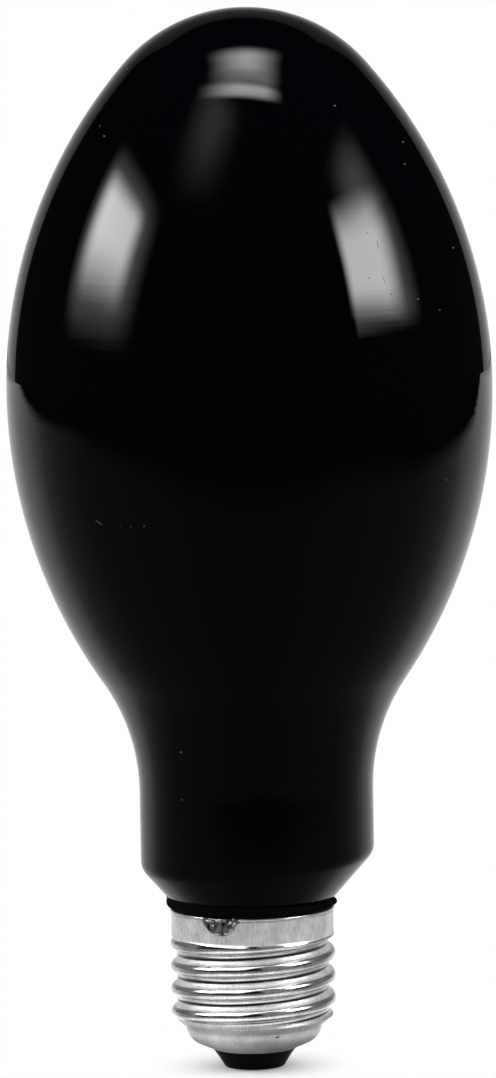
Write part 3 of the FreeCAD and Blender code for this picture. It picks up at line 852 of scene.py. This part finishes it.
# Camera at the photograph's angle, 1 m away, with a long lens and a slight roll.
cameraView = {"place": (0.00036, -1.0, 0.185), "aim": (0.00036, 0.0, 0.0844), "lens": 212.2, "sensor": 36,
              "clip": 100, "roll": -1.0}
lens = bpy.data.cameras.new("photoCamera")
lens.lens = cameraView["lens"]
lens.sensor_width = cameraView["sensor"]
lens.clip_end = cameraView["clip"]
camera = bpy.data.objects.new("photoCamera", lens)
scene.collection.objects.link(camera)
camera.location = cameraView["place"]
sight = Vector(cameraView["aim"]) - Vector(cameraView["place"])
roll = Quaternion((0, 0, 1), math.radians(cameraView["roll"]))
camera.rotation_mode = "QUATERNION"
camera.rotation_quaternion = sight.to_track_quat("-Z", "Y") @ roll
scene.camera = camera


# White surroundings for what the camera and the reflections see, and a plain level for the rest.
roomLevel = 0.5


def roomStrength(add):
    path = add("LightPath").outputs
    seen = path["Is Camera Ray"]
    for ray in ("Is Glossy Ray", "Is Transmission Ray"):
        seen = add("Math", {"operation": "MAXIMUM", 0: seen, 1: path[ray]})
    return add("MapRange", {"Value": seen, "To": (roomLevel, 1.0)})


scene.world = bpy.data.worlds.new("whiteRoom")
addToRoom = emptyTree(scene.world)
room = addToRoom("Background", {"Color": (1, 1, 1, 1), "Strength": roomStrength(addToRoom)})
addToRoom("OutputWorld", {"Surface": room})


def stagePiece(name, corners, faces, material, reflectionOnly):
    mesh = bpy.data.meshes.new(name)
    mesh.from_pydata(corners, [], faces)
    mesh.materials.append(material)
    card = bpy.data.objects.new(name, mesh)
    scene.collection.objects.link(card)
    if reflectionOnly:
        for ray in ("camera", "diffuse", "shadow", "transmission", "volume_scatter"):
            setattr(card, "visible_" + ray, False)
    return card


def squareCorners(half, height):
    return [(-half, -half, height), (half, -half, height), (half, half, height), (-half, half, height)]


# Pale floor: real shadow near the object, and the white room further out.
floorLook = {"colour": "#f4f4f4", "shadow": (0.001, 0.017), "half": 15.0}


def floorMaterial():
    material = bpy.data.materials.new("floorPale")
    add = emptyTree(material)
    place = add("TexCoord").outputs["Object"]
    reach = add("VectorMath", {"operation": "LENGTH", 0: place}).outputs["Value"]
    far = add("MapRange", {"interpolation_type": "SMOOTHSTEP", "Value": reach, "From": floorLook["shadow"]})
    near = add("BsdfDiffuse", {"Color": floorLook["colour"]})
    glow = add("Emission", {"Color": (1, 1, 1, 1), "Strength": roomStrength(add)})
    add("OutputMaterial", {"Surface": add("MixShader", {0: far, 1: near, 2: glow})})
    return material


stagePiece("floor", squareCorners(floorLook["half"], 0), [(0, 1, 2, 3)], floorMaterial(), False)


# Graded cards that only reflections see, as a studio sets them round black glass: dark in front,
# pale behind. measure gives an angle in radians, stops the level at some angles in degrees.
def cardMaterial(name, measure, stops, strength=None):
    material = bpy.data.materials.new(name)
    add = emptyTree(material)
    first, last = (math.radians(stops[end][0]) for end in (0, -1))
    place = add("TexCoord").outputs["Object"]
    share = add("MapRange", {"Value": measure(add, place), "From": (first, last)})
    ramp = add("ValToRGB", {"Fac": share})
    while len(ramp.color_ramp.elements) < len(stops):
        ramp.color_ramp.elements.new(1.0)
    for element, (angle, level) in zip(ramp.color_ramp.elements, stops):
        element.position = (math.radians(angle) - first) / (last - first)
        element.color = (level, level, level, 1)
    shade = add("Emission", {"Color": ramp, "Strength": strength(add, place) if strength else 1.0})
    add("OutputMaterial", {"Surface": shade})
    return material


# Drapes: black all round, with a pale glow behind the object that fades outwards to a clean edge
# and is weaker higher up.
drapeSizes = {"radius": 2.0, "rings": 24, "sides": 48, "centre": (0.001, 0.0, 0.11), "heightShare": 0.8,
              "highLevel": 0.2, "highAngle": 26.0}
drapeStops = [(0, 0.85), (14, 0.6), (20, 0.48), (27, 0.36), (33, 0.28), (34.5, 0.01), (90, 0.005)]


def drapeSide(add, place):
    out = add("VectorMath", {"operation": "SUBTRACT", 0: place, 1: drapeSizes["centre"]})
    unit = add("VectorMath", {"operation": "NORMALIZE", 0: out})
    across, away, up = add("SeparateXYZ", {0: unit}).outputs
    aside = add("Math", {"operation": "ABSOLUTE", 0: across})
    turn = add("Math", {"operation": "ARCTAN2", 0: aside, 1: away})
    rise = add("Math", {"operation": "ARCSINE", 0: up})
    scaled = add("Math", {"operation": "MULTIPLY", 0: rise, 1: drapeSizes["heightShare"]})
    return add("Math", {"operation": "MAXIMUM", 0: turn, 1: scaled})


def drapeFade(add, place):
    low = drapeSizes["centre"][2]
    high = low + drapeSizes["radius"] * math.sin(math.radians(drapeSizes["highAngle"]))
    height = add("SeparateXYZ", {0: place}).outputs[2]
    return add("MapRange", {"Value": height, "From": (low, high), "To": (1.0, drapeSizes["highLevel"])})


def drapes():
    radius, rings, sides = (drapeSizes[name] for name in ("radius", "rings", "sides"))
    x, y, z = drapeSizes["centre"]
    corners, faces = [], []
    for ring in range(rings + 1):
        polar = math.pi * ring / rings
        for step in range(sides):
            around = 2 * math.pi * step / sides
            corners.append((x + radius * math.sin(polar) * math.cos(around),
                            y + radius * math.sin(polar) * math.sin(around), z + radius * math.cos(polar)))
    for ring in range(rings):
        for step in range(sides):
            after = (step + 1) % sides
            faces.append((ring * sides + step, ring * sides + after,
                          (ring + 1) * sides + after, (ring + 1) * sides + step))
    cloth = cardMaterial("drapeCloth", drapeSide, drapeStops, drapeFade)
    stagePiece("drapes", corners, faces, cloth, True)


drapes()

# Table as the glass shows it: black past its soft edge, dark in front of the object and paler behind.
# The edge fades over a share of its distance inwards and outwards, and more slowly along the front.
tableSizes = {"base": 2.1, "baseHeight": 0.0002, "height": 0.0004, "soft": (0.14, 0.14),
              "frontSoft": (0.24, 0.26), "front": (-0.05, -0.2)}
tableEdge = [(-0.24, -0.24), (-0.1, -0.24), (0.05, -0.232), (0.22, -0.222), (0.3, -0.15), (0.345, -0.085),
             (0.46, 0.085), (0.66, 0.57), (1.4, 1.75), (-1.4, 1.75), (-0.84, 0.4), (-0.73, 0.03),
             (-0.43, -0.165)]
tableStops = [(-90, 0.035), (-45, 0.05), (-10, 0.065), (0, 0.085), (15, 0.14), (25, 0.22), (31, 0.34),
              (40, 0.46), (52, 0.54), (60, 0.62), (90, 0.8)]
baseStops = [(-90, 0.004), (90, 0.004)]


def tableTurn(add, place):
    across, away = add("SeparateXYZ", {0: place}).outputs[:2]
    aside = add("Math", {"operation": "ABSOLUTE", 0: across})
    return add("Math", {"operation": "ARCTAN2", 0: away, 1: aside})


def tableLit(add, place):
    return add("Attribute", {"attribute_name": "lit"}).outputs["Fac"]


def table():
    size = tableSizes
    black = cardMaterial("tableBase", tableTurn, baseStops)
    stagePiece("tableBase", squareCorners(size["base"], size["baseHeight"]), [(0, 1, 2, 3)], black, True)
    count = len(tableEdge)
    sides, front = size["front"]
    corners = []
    for sign, soft, frontSoft in zip((-1, 1), size["soft"], size["frontSoft"]):
        for x, y in tableEdge:
            ahead = min(max((y - sides) / (front - sides), 0.0), 1.0)
            share = 1 + sign * (soft + (frontSoft - soft) * ahead)
            corners.append((x * share, y * share, size["height"]))
    faces = [tuple(range(count))]
    for step in range(count):
        after = (step + 1) % count
        faces.append((step, step + count, after + count, after))
    # The card glows: its levels are painted light, a table lit paler behind the object than in front.
    pale = cardMaterial("tableCard", tableTurn, tableStops, tableLit)
    card = stagePiece("tableCard", corners, faces, pale, True)
    lit = card.data.attributes.new("lit", "FLOAT", "POINT")
    lit.data.foreach_set("value", [1.0] * count + [0.0] * count)


table()


# Softboxes, by azimuth from the camera's side (left negative), elevation and half angles as the bulb
# sees them; those at the sides have a bright core in a dim halo. Those above are placed by slopes from
# the upright. soft gives how far the light fades in from its front, back, low and high edge, bow how far
# its ends bend back. capOnly lights give the cap's metal pale surroundings of its own.
softboxes = {
    "leftCore": {"azimuth": -82, "elevation": 24, "wide": 18, "high": 13, "level": 9.2,
                 "soft": (0.26, 0.3, 0.58, 0.24)},
    "leftHalo": {"azimuth": -79.5, "elevation": 22.6, "wide": 24, "high": 19.2, "level": 2.4,
                 "soft": (0.4, 0.3, 0.5, 0.32)},
    "rightCore": {"azimuth": 70, "elevation": 23.7, "wide": 17.5, "high": 14.5, "turn": 8.0, "level": 9.3,
                  "soft": (0.16, 0.42, 0.3, 0.42)},
    "rightHalo": {"azimuth": 74.5, "elevation": 21.4, "wide": 21.5, "high": 15, "turn": 2.0, "level": 1.3,
                  "soft": (0.06, 0.4, 0.2, 0.35)},
    "rightUpper": {"azimuth": 78, "elevation": 39, "wide": 17, "high": 10, "level": 1.0,
                   "soft": (0.5, 0.55, 0.1, 0.6)},
    "dimPanel": {"azimuth": -37, "elevation": 57, "wide": 17, "high": 18, "level": 0.6,
                 "soft": (0.6, 0.6, 0.65, 0.3)},
    "topRear": {"across": 0.005, "ahead": 0.0175, "wide": 20.4, "high": 12.6, "level": 6.2, "bow": 0.05,
                "soft": (0.46, 0.55, 0.25, 0.5)},
    "topWash": {"across": -0.01, "ahead": 0.235, "lift": 0.01, "wide": 20, "high": 4.6, "level": 1.9,
                "bow": 0.3, "soft": (0.25, 0.45, 0.4, 0.4)},
    "topFront": {"across": -0.05, "ahead": 0.252, "lift": 0.02, "wide": 23.5, "high": 3.2, "turn": -6.0,
                 "level": 5.2, "bow": 0.75, "soft": (0.26, 0.55, 0.4, 0.4)},
    "capLeft": {"azimuth": -46, "elevation": 53, "wide": 33, "high": 40, "level": 1.9, "capOnly": True,
                "soft": (0.12, 0.2, 0.2, 0.2)},
    "capUpperRight": {"azimuth": 62, "elevation": 60, "wide": 14, "high": 24, "level": 2.3, "capOnly": True,
                      "soft": (0.15, 0.2, 0.2, 0.2)},
    "capFillLeft": {"azimuth": -118, "elevation": 20, "wide": 38, "high": 38, "level": 0.17, "capOnly": True,
                    "soft": (0.1, 0.1, 0.1, 0.1)},
    "capFillRight": {"azimuth": 118, "elevation": 20, "wide": 38, "high": 38, "level": 0.15, "capOnly": True,
                     "soft": (0.1, 0.1, 0.1, 0.1)},
    "capFillFront": {"azimuth": 35, "elevation": 24, "wide": 26, "high": 42, "level": 0.24, "capOnly": True,
                     "soft": (0.1, 0.1, 0.1, 0.1)},
}
# Pale table close to the cap, as lamps that face up and leave out a round hole under it.
tableGlows = {
    "tableGlowWide": {"size": 0.5, "hole": 0.035, "soft": (0.25, 0.25, 0.25, 0.25), "place": (0, 0, 0.0005),
                      "level": 0.17},
    "tableGlow": {"size": 0.08, "hole": 0.016, "soft": (0.42, 0.42, 0.25, 0.25), "place": (0, 0, 0.0006),
                  "level": 1.15},
    "tableGlowLeft": {"size": 0.036, "hole": 0, "soft": (0.3, 0.3, 0.25, 0.25),
                      "place": (-0.015, -0.018, 0.0008), "level": 0.4},
}
boxCentre = Vector((0.001, -0.02, 0.135))
boxDistance = 0.75
holeEdge = (0.85, 1.15)
capOnly = bpy.data.collections.new("capOnly")
for piece in (shell, patch, strand):
    capOnly.objects.link(piece)


def softEdges(add, spread, soft, bow):
    along, across = add("SeparateXYZ", {0: spread}).outputs[:2]
    ends = add("MapRange", {"Value": along, "To": (-1.0, 1.0)})
    bend = add("Math", {"operation": "POWER", 0: ends, 1: 2.0})
    sag = add("Math", {"operation": "MULTIPLY", 0: bend, 1: -bow})
    bent = add("Math", {"operation": "MULTIPLY_ADD", 0: across, 1: 1 + bow, 2: sag})
    level = 1.0
    for edge, softness in enumerate(soft):
        fade = add("MapRange", {"interpolation_type": "SMOOTHSTEP", "Value": along if edge < 2 else bent,
                                "From": (0.0, softness) if edge % 2 else (1.0, 1.0 - softness)})
        level = add("Math", {"operation": "MULTIPLY", 0: fade, 1: level})
    return level


def addLamp(name, width, depth, level, soft, bow=0.0, hole=0.0, forCap=False):
    lamp = bpy.data.lights.new(name, "AREA")
    lamp.shape = "RECTANGLE"
    lamp.size, lamp.size_y = width, depth * (1 + bow)
    lamp.energy = level * math.pi * lamp.size * lamp.size_y
    add = emptyTree(lamp)
    spread = add("NewGeometry").outputs["Parametric"]
    strength = softEdges(add, spread, soft, bow)
    if hole:
        reach = add("VectorMath", {"operation": "DISTANCE", 0: spread, 1: (0.5, 0.5, 0)}).outputs["Value"]
        ring = add("MapRange", {"Value": reach, "From": [edge * hole / width for edge in holeEdge]})
        strength = add("Math", {"operation": "MULTIPLY", 0: strength, 1: ring})
    glow = add("Emission", {"Color": (1, 1, 1, 1), "Strength": strength})
    add("OutputLight", {"Surface": glow})
    holder = bpy.data.objects.new(name, lamp)
    scene.collection.objects.link(holder)
    holder.visible_camera = False
    if forCap:
        holder.light_linking.receiver_collection = capOnly
    return holder


def addSoftbox(name, box):
    width, depth = (2 * boxDistance * math.tan(math.radians(box[key])) for key in ("wide", "high"))
    front, back, low, high = box["soft"]
    onRight = box.get("azimuth", -1) > 0
    soft = (back, front, high, low) if onRight else (front, back, high, low)
    holder = addLamp(name, width, depth, box["level"], soft, bow=box.get("bow", 0.0), forCap="capOnly" in box)
    turn = math.radians(box.get("turn", 0.0))
    if "across" in box:
        above = Vector((box["across"], -box["ahead"], 1 + box.get("lift", 0.0)))
        holder.location = boxCentre + above * boxDistance
        holder.rotation_euler = (0, 0, turn)
        return
    azimuth, elevation = math.radians(box["azimuth"]), math.radians(box["elevation"])
    out = Vector((math.sin(azimuth) * math.cos(elevation), -math.cos(azimuth) * math.cos(elevation),
                  math.sin(elevation)))
    holder.location = boxCentre + out * boxDistance
    holder.rotation_mode = "QUATERNION"
    holder.rotation_quaternion = (-out).to_track_quat("-Z", "Y") @ Quaternion((0, 0, 1), -turn)


for boxName, box in softboxes.items():
    addSoftbox(boxName, box)
for glowName, glow in tableGlows.items():
    tableLamp = addLamp(glowName, glow["size"], glow["size"], glow["level"], glow["soft"], hole=glow["hole"],
                        forCap=True)
    tableLamp.location = glow["place"]
    tableLamp.rotation_euler = (math.pi, 0, 0)
print("stage and lights set")
